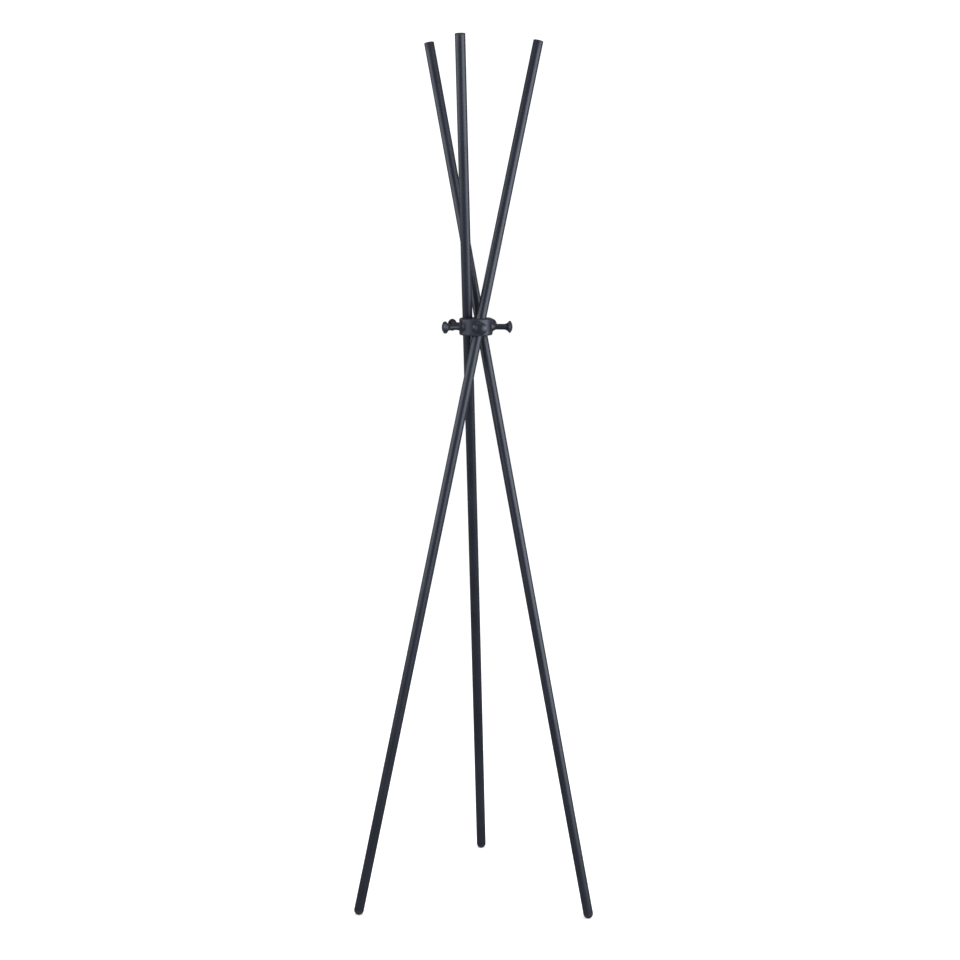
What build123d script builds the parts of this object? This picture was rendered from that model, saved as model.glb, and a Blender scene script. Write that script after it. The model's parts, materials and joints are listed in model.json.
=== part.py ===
from build123d import *
from math import cos, pi, radians, sin, sqrt
import os

# Tripod coat stand: three poles cross in a round hub, and five pegs screw into the hub's rim.
# Each pole is an upper and a lower tube, screwed onto one stud that runs through the hub.
# Millimetres, +Z up, with the origin on the floor under the hub's axis.

# Poles
POLE_COUNT = 3
FIRST_POLE_ANGLE = 180.0  # azimuth about the stand's axis where the first pole crosses
POLE_DIAMETER = 20.0
POLE_WALL = 1.5
POLE_TILT = 12.84  # from vertical, along the tangent of the circle of crossings
POLE_GAP = 8.6  # between neighbouring tubes, at mid-hub
LOWER_REACH = 1210.5  # mid-hub to the tip of the foot, along the pole
UPPER_REACH = 574.0  # mid-hub to the top face, along the pole

# Hub
HUB_WALL = 6.5  # outside the tube seats, at mid-hub
HUB_RIM_HEIGHT = 4.6  # above and below the pegs' spot faces
HUB_EDGE_RADIUS = 3.4
SEAT_DEPTH = 9.0  # of each tube seat, along the pole
SEAT_CLEARANCE = 0.3  # radial, round the tube in its seat

# Pole joints: a stud, a threaded insert in each tube end and a washer in each seat
POLE_STUD_DIAMETER = 10.0
STUD_IN_INSERT = 18.0  # thread length held in each insert
INSERT_SPARE = 6.0  # the insert is this much longer than the thread it holds
STUD_HOLE_CLEARANCE = 0.25  # radial, through the hub
THREAD_CLEARANCE = 0.05  # radial, where a thread or a washer turns
FACE_GAP = 0.05  # between a washer and the end that turns on it
STUD_CHAMFER = 1.0
SEAT_WASHER_THICKNESS = 1.5

# Plastic plugs in the open tube ends
TOP_CAP_THICKNESS = 2.0
TOP_CAP_EDGE_RADIUS = 0.6
TOP_CAP_DIMPLE_RADIUS = 1.2
TOP_CAP_DIMPLE_DEPTH = 1.0
PLUG_LENGTH = 14.0
PLUG_WALL = 2.0

# Pegs, from the base outwards
PEG_COUNT = 5
FIRST_PEG_ANGLE = -75.3
PEG_BASE_RADIUS = 12.0
PEG_BASE_LAND = 0.6  # straight edge round the base
PEG_TRUMPET_LENGTH = 10.5  # hollow sweep from the base to the neck
PEG_NECK_RADIUS = 5.8
PEG_NECK_LENGTH = 13.3
PEG_FLARE_LENGTH = 10.5  # hollow sweep from the neck to the rim
PEG_RIM_RADIUS = 12.0
PEG_RIM_WIDTH = 2.6
PEG_RIM_EDGE_RADIUS = 0.8
PEG_DOME_HEIGHT = 4.2

# Peg joints: a flat spot face on the hub's side, a washer and a stud held in the peg
SPOT_FACE_CLEARANCE = 0.4  # radial, round the peg's base
SPOT_FACE_MARGIN = 0.1  # how far the face lies under the hub's round side at its edges
PEG_WASHER_THICKNESS = 1.0
PEG_WASHER_INSET = 0.5  # the washer is this much smaller than the peg's base
PEG_STUD_DIAMETER = 6.0
PEG_STUD_IN_PEG = 13.0
PEG_STUD_CHAMFER = 0.6
PEG_HOLE_WALL = 0.25  # between a peg's hole and the circle round the pole studs' holes
BLIND_HOLE_RUNOUT = 0.5  # a blind hole is this much deeper than its stud

POLE_RADIUS = POLE_DIAMETER / 2
TUBE_BORE_RADIUS = POLE_RADIUS - POLE_WALL
STUD_RADIUS = POLE_STUD_DIAMETER / 2
STUD_HOLE_RADIUS = STUD_RADIUS + STUD_HOLE_CLEARANCE
SEAT_RADIUS = POLE_RADIUS + SEAT_CLEARANCE
PEG_STUD_RADIUS = PEG_STUD_DIAMETER / 2
SPOT_FACE_RADIUS = PEG_BASE_RADIUS + SPOT_FACE_CLEARANCE

# Neighbouring poles cross on a circle, a tube and a gap apart.
CROSSING_RADIUS = (POLE_DIAMETER + POLE_GAP) / (2 * sin(pi / POLE_COUNT))
HUB_RADIUS = CROSSING_RADIUS + SEAT_RADIUS + HUB_WALL
HUB_HEIGHT = 2 * (SPOT_FACE_RADIUS + HUB_RIM_HEIGHT)

# Distances along a pole from mid-hub
SEAT_START = HUB_HEIGHT / 2 - SEAT_DEPTH
WASHER_TOP = SEAT_START + SEAT_WASHER_THICKNESS
TUBE_START = WASHER_TOP + FACE_GAP
INSERT_END = TUBE_START + STUD_IN_INSERT + INSERT_SPARE
UPPER_TUBE_END = UPPER_REACH - TOP_CAP_THICKNESS
LOWER_TUBE_END = LOWER_REACH - POLE_RADIUS

# Distances along a peg from the stand's axis
SPOT_FACE = sqrt(HUB_RADIUS**2 - SPOT_FACE_RADIUS**2) - SPOT_FACE_MARGIN
PEG_HOLE_START = CROSSING_RADIUS + STUD_HOLE_RADIUS + PEG_HOLE_WALL
PEG_WASHER_TOP = SPOT_FACE + PEG_WASHER_THICKNESS
PEG_START = PEG_WASHER_TOP + FACE_GAP

# The foot's dome touches the floor, which sets the hub's height.
HUB_LEVEL = LOWER_TUBE_END * cos(radians(POLE_TILT)) + POLE_RADIUS

FROM_BOTTOM = (Align.CENTER, Align.CENTER, Align.MIN)


def disc(radius, low, high):
    """A plain cylinder about Z between two heights."""
    return Pos(0, 0, low) * Cylinder(radius, high - low, align=FROM_BOTTOM)


def ring(outer, inner, low, high):
    """A plain tube about Z between two heights."""
    return disc(outer, low, high) - disc(inner, low, high)


def stud(radius, chamfer_size, low, high):
    """A threaded rod's outer shape, chamfered at both ends."""
    rod = disc(radius, low, high)
    return chamfer(rod.edges().filter_by(GeomType.CIRCLE), chamfer_size)


def even_angles(first, count):
    return [first + 360.0 * index / count for index in range(count)]


def pole_frame(angle):
    """The pole's own frame: origin at mid-hub, Z up along the pole."""
    turn = radians(angle)
    tilt = radians(POLE_TILT)
    centre = (CROSSING_RADIUS * cos(turn), CROSSING_RADIUS * sin(turn), HUB_LEVEL)
    upwards = (-sin(turn) * sin(tilt), cos(turn) * sin(tilt), cos(tilt))
    outwards = (cos(turn), sin(turn), 0.0)
    return Plane(origin=centre, x_dir=outwards, z_dir=upwards).location


def peg_frame(angle):
    """The peg's own frame: origin on the stand's axis, Z out along the peg."""
    turn = radians(angle)
    return Plane(origin=(0, 0, HUB_LEVEL), x_dir=(0, 0, 1), z_dir=(cos(turn), sin(turn), 0)).location


def flipped(shape):
    """The same piece for the lower end: the pole's Z turned over."""
    return Rot(180, 0, 0) * shape


# Pieces of a pole, in the pole's frame and pointing up


def seat_washer():
    return ring(POLE_RADIUS, STUD_HOLE_RADIUS, SEAT_START, WASHER_TOP)


def insert():
    """A steel plug pressed into the tube's end, threaded for the stud."""
    return ring(TUBE_BORE_RADIUS, STUD_RADIUS + THREAD_CLEARANCE, TUBE_START, INSERT_END)


def pole_stud():
    end = TUBE_START + STUD_IN_INSERT
    return stud(STUD_RADIUS, STUD_CHAMFER, -end, end)


def upper_tube():
    return ring(POLE_RADIUS, TUBE_BORE_RADIUS, TUBE_START, UPPER_TUBE_END)


def lower_tube():
    return flipped(ring(POLE_RADIUS, TUBE_BORE_RADIUS, TUBE_START, LOWER_TUBE_END))


def plug(end):
    """The hollow spigot that holds a cap in the tube, up to the tube's end."""
    return ring(TUBE_BORE_RADIUS, TUBE_BORE_RADIUS - PLUG_WALL, end - PLUG_LENGTH, end)


def top_cap():
    lid = disc(POLE_RADIUS, UPPER_TUBE_END, UPPER_REACH)
    lid = fillet(lid.edges().filter_by(GeomType.CIRCLE).sort_by(Axis.Z)[-1], TOP_CAP_EDGE_RADIUS)
    dimple = disc(TOP_CAP_DIMPLE_RADIUS, UPPER_REACH - TOP_CAP_DIMPLE_DEPTH, UPPER_REACH)
    return lid - dimple + plug(UPPER_TUBE_END)


def foot_cap():
    """A half-ball foot of the tube's own diameter, on a spigot."""
    dome = Sphere(POLE_RADIUS, arc_size1=0, align=FROM_BOTTOM)
    return flipped(Pos(0, 0, LOWER_TUBE_END) * dome + plug(LOWER_TUBE_END))


# Pieces of a peg, in the peg's frame


def peg_profile():
    """Half the peg's section: X is the radius and Y the distance from the stand's axis."""
    base_edge = PEG_START + PEG_BASE_LAND
    neck_start = base_edge + PEG_TRUMPET_LENGTH
    neck_end = neck_start + PEG_NECK_LENGTH
    rim_start = neck_end + PEG_FLARE_LENGTH
    rim_end = rim_start + PEG_RIM_WIDTH
    tip = rim_end + PEG_DOME_HEIGHT
    dome_radius = (PEG_RIM_RADIUS**2 + PEG_DOME_HEIGHT**2) / (2 * PEG_DOME_HEIGHT)
    outline = [
        Line((0, PEG_START), (PEG_BASE_RADIUS, PEG_START)),
        Line((PEG_BASE_RADIUS, PEG_START), (PEG_BASE_RADIUS, base_edge)),
        TangentArc((PEG_NECK_RADIUS, neck_start), (PEG_BASE_RADIUS, base_edge), tangent=(0, -1)),
        Line((PEG_NECK_RADIUS, neck_start), (PEG_NECK_RADIUS, neck_end)),
        TangentArc((PEG_NECK_RADIUS, neck_end), (PEG_RIM_RADIUS, rim_start), tangent=(0, 1)),
        Line((PEG_RIM_RADIUS, rim_start), (PEG_RIM_RADIUS, rim_end)),
        RadiusArc((PEG_RIM_RADIUS, rim_end), (0, tip), -dome_radius),
        Line((0, tip), (0, PEG_START)),
    ]
    face = make_face(outline)
    return fillet(face.vertices().filter_by_position(Axis.Y, rim_start, rim_end), PEG_RIM_EDGE_RADIUS)


def peg():
    turned = revolve(Plane.XZ * peg_profile(), Axis.Z)
    bore_end = PEG_START + PEG_STUD_IN_PEG + BLIND_HOLE_RUNOUT
    return turned - disc(PEG_STUD_RADIUS, PEG_START, bore_end)


def peg_stud():
    inner_end = PEG_HOLE_START + BLIND_HOLE_RUNOUT
    return stud(PEG_STUD_RADIUS, PEG_STUD_CHAMFER, inner_end, PEG_START + PEG_STUD_IN_PEG)


def peg_washer():
    bore = PEG_STUD_RADIUS + THREAD_CLEARANCE
    return ring(PEG_BASE_RADIUS - PEG_WASHER_INSET, bore, SPOT_FACE, PEG_WASHER_TOP)


# The hub and its cuts


def pole_cut():
    """The stud hole with a tube seat at each end, in the pole's frame."""
    seat = disc(SEAT_RADIUS, SEAT_START, HUB_HEIGHT)
    hole = disc(STUD_HOLE_RADIUS, -HUB_HEIGHT, HUB_HEIGHT)
    return hole + seat + flipped(seat)


def peg_cut():
    """The spot face with its threaded blind hole, in the peg's frame."""
    face = disc(SPOT_FACE_RADIUS, SPOT_FACE, 2 * HUB_RADIUS)
    return face + disc(PEG_STUD_RADIUS + THREAD_CLEARANCE, PEG_HOLE_START, 2 * HUB_RADIUS)


def hub():
    puck = Pos(0, 0, HUB_LEVEL) * Cylinder(HUB_RADIUS, HUB_HEIGHT)
    puck = fillet(puck.edges().filter_by(GeomType.CIRCLE), HUB_EDGE_RADIUS)
    for angle in even_angles(FIRST_POLE_ANGLE, POLE_COUNT):
        puck -= pole_frame(angle) * pole_cut()
    for angle in even_angles(FIRST_PEG_ANGLE, PEG_COUNT):
        puck -= peg_frame(angle) * peg_cut()
    return puck


def pole_pieces():
    return {
        "upper_tube": upper_tube(),
        "upper_insert": insert(),
        "upper_washer": seat_washer(),
        "top_cap": top_cap(),
        "pole_stud": pole_stud(),
        "lower_tube": lower_tube(),
        "lower_insert": flipped(insert()),
        "lower_washer": flipped(seat_washer()),
        "foot_cap": foot_cap(),
    }


def peg_pieces():
    return {"peg": peg(), "peg_stud": peg_stud(), "peg_washer": peg_washer()}


def placed(pieces, frames):
    """Each piece once in every frame, numbered in the frames' order."""
    nodes = {}
    for number, frame in enumerate(frames, start=1):
        for name, shape in pieces.items():
            nodes[f"{name}_{number}"] = frame * shape
    return nodes


def write_parts():
    nodes = {"hub": hub()}
    nodes |= placed(pole_pieces(), [pole_frame(a) for a in even_angles(FIRST_POLE_ANGLE, POLE_COUNT)])
    nodes |= placed(peg_pieces(), [peg_frame(a) for a in even_angles(FIRST_PEG_ANGLE, PEG_COUNT)])
    os.makedirs("parts", exist_ok=True)
    for name, shape in nodes.items():
        export_step(shape, f"parts/{name}.step")


write_parts()
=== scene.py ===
import json
from math import acos, asin, ceil, cos, pi, radians, sin, tan

import bmesh
import bpy
from mathutils import Matrix, Vector


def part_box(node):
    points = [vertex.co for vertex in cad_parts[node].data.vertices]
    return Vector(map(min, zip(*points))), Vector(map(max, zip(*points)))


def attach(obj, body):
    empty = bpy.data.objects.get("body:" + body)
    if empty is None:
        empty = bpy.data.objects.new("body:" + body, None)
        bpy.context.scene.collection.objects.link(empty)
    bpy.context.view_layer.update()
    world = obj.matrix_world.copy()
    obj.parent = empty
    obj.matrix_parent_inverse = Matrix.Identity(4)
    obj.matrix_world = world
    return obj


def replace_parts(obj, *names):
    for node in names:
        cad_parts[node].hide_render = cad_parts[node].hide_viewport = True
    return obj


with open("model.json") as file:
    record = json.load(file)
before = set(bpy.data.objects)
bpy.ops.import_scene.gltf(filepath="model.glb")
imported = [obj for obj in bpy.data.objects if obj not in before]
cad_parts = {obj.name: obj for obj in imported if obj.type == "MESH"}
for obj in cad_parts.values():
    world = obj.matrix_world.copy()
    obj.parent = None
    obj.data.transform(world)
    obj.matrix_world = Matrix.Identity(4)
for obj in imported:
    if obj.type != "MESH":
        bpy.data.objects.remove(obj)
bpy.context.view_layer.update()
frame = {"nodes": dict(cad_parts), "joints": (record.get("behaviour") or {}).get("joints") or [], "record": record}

NODES = frame["nodes"]
POLES = (1, 2, 3)
PEGS = (1, 2, 3, 4, 5)

# Camera: azimuth about the hub's axis from -Y, then its place and aim in metres and radians
VIEW_AZIMUTH = radians(5.87)
VIEW_DISTANCE = 3.692
VIEW_SIDEWAYS = 0.0081
VIEW_HEIGHT = 1.435
VIEW_PITCH = radians(8.69)
VIEW_LENS_MM = 69.35
SENSOR_MM = 36.0

# Studio: strength of the white surroundings, and lengths in metres
STUDIO = 1.17
REFLECTED_STUDIO = 0.2  # strength in reflections only
SOFTBOX_DISTANCE = 2.5
FLOOR_HALF_WIDTH = 60.0

# Threads, in metres
POLE_THREAD = {"radius": 0.005, "pitch": 0.0015}
PEG_THREAD = {"radius": 0.003, "pitch": 0.001}
THREAD_DEPTH_SHARE = 0.61  # of the pitch
THREAD_CREST_GAIN = 1.25  # over 1, so that the thread's crests are flat

# Tubes and pegs, in metres; the peg from its base outwards
TUBE_EDGE_RADIUS = 0.0003
PEG_HOLE = {"radius": 0.003, "depth": 0.0135}
PEG_BASE_RADIUS = 0.012
PEG_BASE_LAND = 0.0006
PEG_TRUMPET_LENGTH = 0.0105
PEG_NECK_RADIUS = 0.0058
PEG_NECK_LENGTH = 0.0133
PEG_FLARE_LENGTH = 0.0105
PEG_RIM_RADIUS = 0.012
PEG_RIM_WIDTH = 0.0026
PEG_EDGE_RADIUS = 0.0008

ON_AXIS = 1e-7  # a turned outline's point nearer to the axis than this is on it
SHARP_ANGLE = radians(32.0)  # edges of turned pieces that bend more than this stay sharp


# Axes from the frame


def middle(node):
    """The middle of a node's box, which is on its axis for a plain tube or stud."""
    low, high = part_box(node)
    return (low + high) / 2


def pole_axis(number):
    """A point on the pole's axis and the direction up along it."""
    along = middle(f"upper_tube_{number}") - middle(f"lower_tube_{number}")
    return middle(f"pole_stud_{number}"), along.normalized()


def peg_axis(number):
    """A point on the peg's axis and the direction out along it."""
    joint = next(j for j in frame["joints"] if j["name"] == f"peg_{number}_unscrew")
    return middle(f"peg_stud_{number}"), Vector(joint["axis"]).normalized()


def reach(node, point, axis):
    """The lowest and highest distance of a node's points along an axis."""
    along = [(v.co - point).dot(axis) for v in NODES[node].data.vertices]
    return min(along), max(along)


def radii(node, point, axis):
    """The smallest and largest distance of a node's points from an axis."""
    away = [(v.co - point).cross(axis).length for v in NODES[node].data.vertices]
    return min(away), max(away)


def axis_frame(point, axis):
    """Places a piece made about Z: Z goes along the axis and the origin to the point."""
    return Matrix.Translation(point) @ axis.to_track_quat("Z", "Y").to_matrix().to_4x4()


# Materials


class Nodes:
    """A material's node tree, with short calls to add and join nodes."""

    def __init__(self, name):
        self.material = bpy.data.materials.new(name)
        self.material.use_nodes = True
        self.tree = self.material.node_tree
        self.shader = self.tree.nodes["Principled BSDF"]
        self.place = self.add("ShaderNodeTexCoord").outputs["Object"]

    def add(self, kind):
        return self.tree.nodes.new(kind)

    def join(self, source, target):
        self.tree.links.new(source, target)

    def noise(self, scale, detail=2.0, roughness=0.5):
        node = self.add("ShaderNodeTexNoise")
        node.inputs["Scale"].default_value = scale
        node.inputs["Detail"].default_value = detail
        node.inputs["Roughness"].default_value = roughness
        self.join(self.place, node.inputs["Vector"])
        return node.outputs["Fac"]

    def ramp(self, source, stops):
        """Colours a value by (position, colour) stops."""
        node = self.add("ShaderNodeValToRGB")
        elements = node.color_ramp.elements
        while len(elements) < len(stops):
            elements.new(0.5)
        for element, (position, colour) in zip(elements, stops):
            element.position = position
            element.color = (*colour, 1.0)
        self.join(source, node.inputs["Fac"])
        return node.outputs["Color"]

    def span(self, source, low, high):
        """Moves a value from 0 to 1 into another range."""
        node = self.add("ShaderNodeMapRange")
        node.inputs["To Min"].default_value = low
        node.inputs["To Max"].default_value = high
        self.join(source, node.inputs["Value"])
        return node.outputs["Result"]

    def bumps(self, *layers):
        """Adds up bump layers, each a height source, a distance in metres and a strength."""
        normal = None
        for height, distance, strength in layers:
            node = self.add("ShaderNodeBump")
            node.inputs["Distance"].default_value = distance
            node.inputs["Strength"].default_value = strength
            self.join(height, node.inputs["Height"])
            if normal:
                self.join(normal, node.inputs["Normal"])
            normal = node.outputs["Normal"]
        self.join(normal, self.shader.inputs["Normal"])

    def set(self, **values):
        """Sets the shader's own sockets, with underscores for the spaces in their names."""
        for key, value in values.items():
            self.shader.inputs[key.replace("_", " ")].default_value = value


def powder_coat(name, dark, light, gloss, grain):
    """Satin black powder coat: slight orange peel, fine grain and a little cloudiness."""
    m = Nodes(name)
    clouds = m.noise(14.0, 4.0)
    m.join(m.ramp(clouds, [(0.35, dark), (0.68, light)]), m.shader.inputs["Base Color"])
    wear = m.noise(60.0, 5.0, 0.6)
    m.join(m.span(wear, gloss - 0.05, gloss + 0.06), m.shader.inputs["Roughness"])
    orange_peel = m.noise(520.0, 1.0)
    m.bumps((orange_peel, 0.0002, 0.5), (m.noise(grain, 2.0, 0.7), 0.00006, 0.55))
    m.set(Specular_IOR_Level=0.5, IOR=1.5, Specular_Tint=(0.79, 0.86, 1.0, 1.0))
    return m.material


def moulded(name, dark, light, gloss):
    """Moulded black plastic: fine spark-eroded texture and soft wear."""
    m = Nodes(name)
    clouds = m.noise(90.0, 4.0)
    m.join(m.ramp(clouds, [(0.3, dark), (0.75, light)]), m.shader.inputs["Base Color"])
    wear = m.noise(300.0, 3.0)
    m.join(m.span(wear, gloss - 0.06, gloss + 0.08), m.shader.inputs["Roughness"])
    m.bumps((m.noise(2600.0, 2.0, 0.8), 0.00005, 0.6))
    m.set(IOR=1.48)
    return m.material


def plated_steel(name, dark, light, gloss):
    """Zinc-plated steel: cloudy plating of uneven gloss."""
    m = Nodes(name)
    clouds = m.noise(160.0, 5.0, 0.6)
    m.join(m.ramp(clouds, [(0.3, dark), (0.7, light)]), m.shader.inputs["Base Color"])
    wear = m.noise(700.0, 4.0, 0.7)
    m.join(m.span(wear, gloss - 0.08, gloss + 0.12), m.shader.inputs["Roughness"])
    m.bumps((m.noise(1500.0, 3.0, 0.6), 0.00003, 0.4))
    m.set(Metallic=1.0)
    return m.material


def floor_paper(name):
    """Matt white studio paper with a barely visible tooth."""
    m = Nodes(name)
    stops = [(0.2, (0.9, 0.9, 0.903)), (0.8, (0.93, 0.93, 0.93))]
    m.join(m.ramp(m.noise(3.0, 3.0), stops), m.shader.inputs["Base Color"])
    m.bumps((m.noise(900.0, 2.0), 0.0001, 0.15))
    m.set(Roughness=0.85, Specular_IOR_Level=0.2)
    return m.material


# Each material's darkest and lightest colour, its roughness and, for a coating, its grain
BLACK_DARK = (0.0065, 0.0078, 0.0135)
BLACK_LIGHT = (0.0105, 0.0125, 0.0195)
PEG_LIGHT = (0.0125, 0.0145, 0.022)
HUB_DARK, HUB_LIGHT = (0.009, 0.0105, 0.017), (0.016, 0.018, 0.026)
CAP_DARK, CAP_LIGHT = (0.011, 0.0122, 0.017), (0.018, 0.0195, 0.025)
FOOT_DARK, FOOT_LIGHT = (0.0105, 0.0115, 0.0155), (0.017, 0.0185, 0.0235)
INSERT_DARK, INSERT_LIGHT = (0.45, 0.45, 0.46), (0.6, 0.6, 0.6)
STUD_DARK, STUD_LIGHT = (0.5, 0.51, 0.53), (0.68, 0.68, 0.68)
WASHER_DARK, WASHER_LIGHT = (0.52, 0.52, 0.52), (0.66, 0.66, 0.67)
NYLON_DARK, NYLON_LIGHT = (0.02, 0.02, 0.02), (0.03, 0.03, 0.03)
MATERIALS = {
    "pole_tube": powder_coat("tube_powder_coat", BLACK_DARK, BLACK_LIGHT, 0.36, 2600.0),
    "hub_casting": powder_coat("hub_powder_coat", HUB_DARK, HUB_LIGHT, 0.40, 1900.0),
    "peg": powder_coat("peg_powder_coat", BLACK_DARK, PEG_LIGHT, 0.34, 2400.0),
    "end_cap": moulded("cap_plastic", CAP_DARK, CAP_LIGHT, 0.5),
    "foot": moulded("foot_rubber", FOOT_DARK, FOOT_LIGHT, 0.6),
    "steel_insert": plated_steel("insert_steel", INSERT_DARK, INSERT_LIGHT, 0.34),
    "steel_stud": plated_steel("stud_zinc", STUD_DARK, STUD_LIGHT, 0.3),
    "zinc_washer": plated_steel("washer_zinc", WASHER_DARK, WASHER_LIGHT, 0.28),
    "nylon_washer": moulded("washer_nylon", NYLON_DARK, NYLON_LIGHT, 0.55),
}


def dress(piece, material):
    piece.data.materials.clear()
    piece.data.materials.append(material)


def dress_cad_nodes():
    for entry in frame["record"]["subparts"]:
        dress(NODES[entry["node"]], MATERIALS[entry["material_slot"]])


# Made pieces


def new_piece(name, mesh, body, slot):
    piece = bpy.data.objects.new(name, mesh)
    bpy.context.scene.collection.objects.link(piece)
    dress(piece, MATERIALS[slot])
    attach(piece, body)
    return piece


def rounded(before, corner, after, radius, steps=5):
    """The points of an arc that rounds one corner of an outline."""
    back = (before - corner).normalized()
    ahead = (after - corner).normalized()
    half = back.angle(ahead) / 2
    centre = corner + (back + ahead).normalized() * (radius / sin(half))
    start = corner + back * (radius / tan(half)) - centre
    end = corner + ahead * (radius / tan(half)) - centre
    return [centre + start.slerp(end, step / steps) * radius for step in range(steps + 1)]


def with_rounded_corners(outline, corners):
    """An outline of (radius, height) points, where corners gives some of them an edge radius."""
    points = [Vector(point) for point in outline]
    result = []
    for index, point in enumerate(points):
        if index in corners:
            after = points[(index + 1) % len(points)]
            result += rounded(points[index - 1], point, after, corners[index])
        else:
            result.append(point)
    return result


def in_short_runs(outline, closed, longest=0.02):
    """Adds points on long runs, so that no face is much longer than wide."""
    points = [Vector(point) for point in outline]
    ends = points[1:] + points[:1] if closed else points[1:]
    result = []
    for start, end in zip(points, ends):
        count = ceil((end - start).length / longest)
        result += [start.lerp(end, step / count) for step in range(count)]
    return result if closed else result + points[-1:]


def turned_mesh(name, outline, closed, sides=96):
    """Turns an outline about Z: a closed one makes a ring, an open one starts and ends on Z."""
    maker = bmesh.new()
    rings = []
    for radius, height in in_short_runs(outline, closed):
        if radius < ON_AXIS:
            rings.append([maker.verts.new((0.0, 0.0, height))])
            continue
        turns = [2 * pi * side / sides for side in range(sides)]
        rings.append([maker.verts.new((radius * cos(t), radius * sin(t), height)) for t in turns])
    for lower, upper in zip(rings, rings[1:] + rings[:1] if closed else rings[1:]):
        for side in range(sides):
            after = (side + 1) % sides
            if len(lower) == 1:
                maker.faces.new((lower[0], upper[after], upper[side]))
            elif len(upper) == 1:
                maker.faces.new((lower[side], lower[after], upper[0]))
            else:
                maker.faces.new((lower[side], lower[after], upper[after], upper[side]))
    bmesh.ops.recalc_face_normals(maker, faces=maker.faces)
    for face in maker.faces:
        face.smooth = True
    mesh = bpy.data.meshes.new(name)
    maker.to_mesh(mesh)
    maker.free()
    mesh.set_sharp_from_angle(angle=SHARP_ANGLE)
    return mesh


def stand_in(node, mesh, point, axis, body, slot):
    """Puts a mesh made about Z on the node's axis, and shows it for the node."""
    mesh.transform(axis_frame(point, axis))
    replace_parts(new_piece(f"{node}_turned", mesh, body, slot), node)


def turned_tube(node, point, axis, body):
    """A tube with its cut edges broken, as long and as wide as its node."""
    low, high = reach(node, point, axis)
    bore, radius = radii(node, point, axis)
    outline = [(bore, low), (radius, low), (radius, high), (bore, high)]
    edges = {1: TUBE_EDGE_RADIUS, 2: TUBE_EDGE_RADIUS}
    mesh = turned_mesh(f"{node}_turned", with_rounded_corners(outline, edges), closed=True)
    stand_in(node, mesh, point, axis, body, "pole_tube")


def sweep(neck_height, end, steps=16):
    """A hollow arc that leaves the neck along the peg and ends at a wider point."""
    rise = end[0] - PEG_NECK_RADIUS
    run = end[1] - neck_height
    size = (run**2 + rise**2) / (2 * rise)
    last = asin(run / size)
    turns = [last * step / steps for step in range(steps + 1)]
    return [(PEG_NECK_RADIUS + size * (1 - cos(t)), neck_height + size * sin(t)) for t in turns]


def dome(start, tip, steps=16):
    """A part of a ball from its rim to its tip on the axis, without the rim's own point."""
    rise = tip - start[1]
    size = (start[0] ** 2 + rise**2) / (2 * rise)
    first = acos(1 - rise / size)
    turns = [first * (1 - step / steps) for step in range(1, steps + 1)]
    return [(size * sin(t), tip - size * (1 - cos(t))) for t in turns]


def turned_peg(number):
    """A peg turned from the hole for its stud round the base and out to the dome's tip."""
    node = f"peg_{number}"
    point, axis = peg_axis(number)
    low, tip = reach(node, point, axis)
    land = low + PEG_BASE_LAND
    neck_start = land + PEG_TRUMPET_LENGTH
    neck_end = neck_start + PEG_NECK_LENGTH
    rim_start = (PEG_RIM_RADIUS, neck_end + PEG_FLARE_LENGTH)
    rim_end = (PEG_RIM_RADIUS, rim_start[1] + PEG_RIM_WIDTH)
    hole_end = low + PEG_HOLE["depth"]
    hole = [(0.0, hole_end), (PEG_HOLE["radius"], hole_end), (PEG_HOLE["radius"], low)]
    base = hole + [(PEG_BASE_RADIUS, low)]
    trumpet = sweep(neck_start, (PEG_BASE_RADIUS, land))
    flare = sweep(neck_end, rim_start)
    outline = base + trumpet[::-1] + flare + [rim_end] + dome(rim_end, tip)
    rim = len(base) + len(trumpet) + len(flare) - 1
    edges = {rim: PEG_EDGE_RADIUS, rim + 1: PEG_EDGE_RADIUS}
    mesh = turned_mesh(f"{node}_turned", with_rounded_corners(outline, edges), closed=False)
    stand_in(node, mesh, point, axis, node, "peg")


def make_turned_pieces():
    for number in POLES:
        turned_tube(f"upper_tube_{number}", *pole_axis(number), f"upper_pole_{number}")
        turned_tube(f"lower_tube_{number}", *pole_axis(number), "root")
    for number in PEGS:
        turned_peg(number)


def thread_mesh(name, low, high, radius, pitch, sides=40, steps=10):
    """A rod with a helical thread between two heights, tapered over its first turn at each end."""
    depth = pitch * THREAD_DEPTH_SHARE
    rows = int((high - low) / pitch * steps)
    mesh = bpy.data.meshes.new(name)
    maker = bmesh.new()
    grid = []
    for row in range(rows + 1):
        height = low + (high - low) * row / rows
        taper = min(1.0, min(height - low, high - height) / pitch)
        ring = []
        for side in range(sides):
            turn = 2 * pi * side / sides
            phase = (height / pitch - side / sides) % 1.0
            crest = min(1.0, (1.0 - abs(2.0 * phase - 1.0)) * THREAD_CREST_GAIN)
            size = radius - depth * (1.0 - crest * taper)
            ring.append(maker.verts.new((size * cos(turn), size * sin(turn), height)))
        grid.append(ring)
    for lower, upper in zip(grid, grid[1:]):
        for side in range(sides):
            after = (side + 1) % sides
            maker.faces.new((lower[side], lower[after], upper[after], upper[side]))
    maker.faces.new(list(reversed(grid[0])))
    maker.faces.new(grid[-1])
    maker.to_mesh(mesh)
    maker.free()
    return mesh


def threaded_stud(node, point, axis, thread, body):
    low, high = reach(node, point, axis)
    mesh = thread_mesh(f"{node}_turned", low, high, thread["radius"], thread["pitch"])
    stand_in(node, mesh, point, axis, body, "steel_stud")


def make_studs():
    for number in POLES:
        threaded_stud(f"pole_stud_{number}", *pole_axis(number), POLE_THREAD, "root")
    for number in PEGS:
        threaded_stud(f"peg_stud_{number}", *peg_axis(number), PEG_THREAD, f"peg_{number}")


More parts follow.
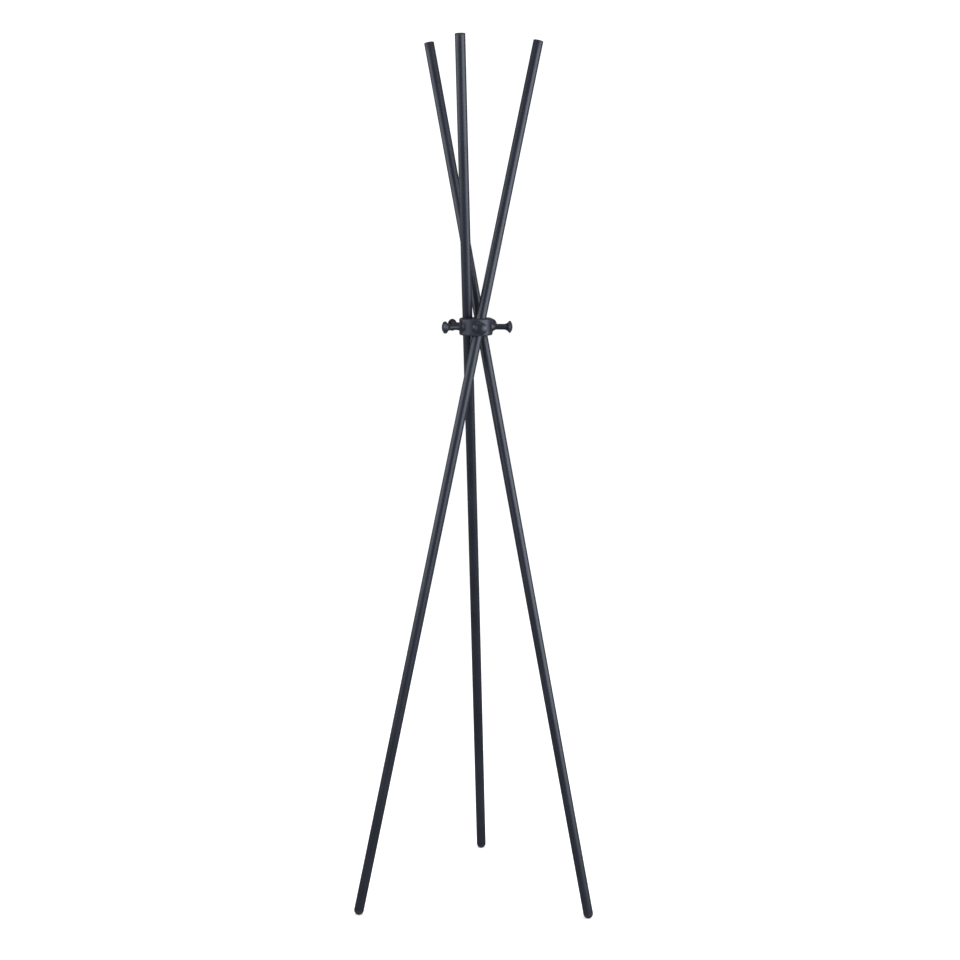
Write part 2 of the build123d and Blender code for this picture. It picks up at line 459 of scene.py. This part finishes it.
# Stage, light and camera


def make_floor():
    far = FLOOR_HALF_WIDTH
    mesh = bpy.data.meshes.new("studio_floor")
    corners = [(-far, -far, 0), (far, -far, 0), (far, far, 0), (-far, far, 0)]
    mesh.from_pydata(corners, [], [(0, 1, 2, 3)])
    floor = bpy.data.objects.new("studio_floor", mesh)
    bpy.context.scene.collection.objects.link(floor)
    mesh.materials.append(floor_paper("studio_paper"))
    floor.visible_glossy = False


def make_world():
    """White all round, but dim in reflections, so that black surfaces stay black."""
    world = bpy.data.worlds.new("studio")
    world.use_nodes = True
    tree = world.node_tree
    sky = tree.nodes["Background"]
    sky.inputs["Color"].default_value = (1.0, 1.0, 1.0, 1.0)
    path = tree.nodes.new("ShaderNodeLightPath")
    strength = tree.nodes.new("ShaderNodeMapRange")
    strength.inputs["To Min"].default_value = STUDIO
    strength.inputs["To Max"].default_value = REFLECTED_STUDIO
    tree.links.new(path.outputs["Is Glossy Ray"], strength.inputs["Value"])
    tree.links.new(strength.outputs["Result"], sky.inputs["Strength"])
    bpy.context.scene.world = world
    bpy.context.scene.view_settings.view_transform = "Standard"


def area_light(name, place, aim, size, power):
    light = bpy.data.lights.new(name, "AREA")
    light.shape = "RECTANGLE"
    light.size, light.size_y = size
    light.energy = power
    lamp = bpy.data.objects.new(name, light)
    lamp.visible_camera = False
    bpy.context.scene.collection.objects.link(lamp)
    lamp.location = place
    lamp.rotation_euler = (Vector(aim) - Vector(place)).to_track_quat("-Z", "Y").to_euler()


def side_light(name, turn, height, size, power):
    """A softbox that faces the stand level, turned about it to the right of the camera."""
    about = Matrix.Rotation(VIEW_AZIMUTH + turn, 3, "Z")
    place = about @ Vector((0.0, -SOFTBOX_DISTANCE, height))
    area_light(name, place, (0.0, 0.0, height), size, power)


def make_lights():
    """A wide softbox on each side of the camera's view, and a weak one overhead."""
    side_light("right_softbox", turn=radians(60.0), height=1.35, size=(2.9, 2.1), power=84)
    side_light("left_softbox", turn=radians(-72.0), height=1.58, size=(3.4, 1.5), power=46)
    above, middle_height = (0.0, -0.4, 4.0), (0.0, 0.0, 1.0)
    area_light("top_softbox", above, middle_height, size=(2.4, 2.4), power=18)


def make_camera():
    """The camera stands in front of the stand, a little above its hub, and is tilted down."""
    camera = bpy.data.cameras.new("camera")
    camera.lens = VIEW_LENS_MM
    camera.sensor_width = SENSOR_MM
    piece = bpy.data.objects.new("camera", camera)
    bpy.context.scene.collection.objects.link(piece)
    turned = Matrix.Rotation(VIEW_AZIMUTH, 4, "Z")
    place = turned @ Vector((VIEW_SIDEWAYS, -VIEW_DISTANCE, VIEW_HEIGHT))
    look = turned @ Vector((0.0, cos(VIEW_PITCH), -sin(VIEW_PITCH)))
    piece.location = place
    piece.rotation_euler = look.to_track_quat("-Z", "Y").to_euler()
    bpy.context.scene.camera = piece


make_camera()
dress_cad_nodes()
make_turned_pieces()
make_studs()
make_floor()
make_world()
make_lights()
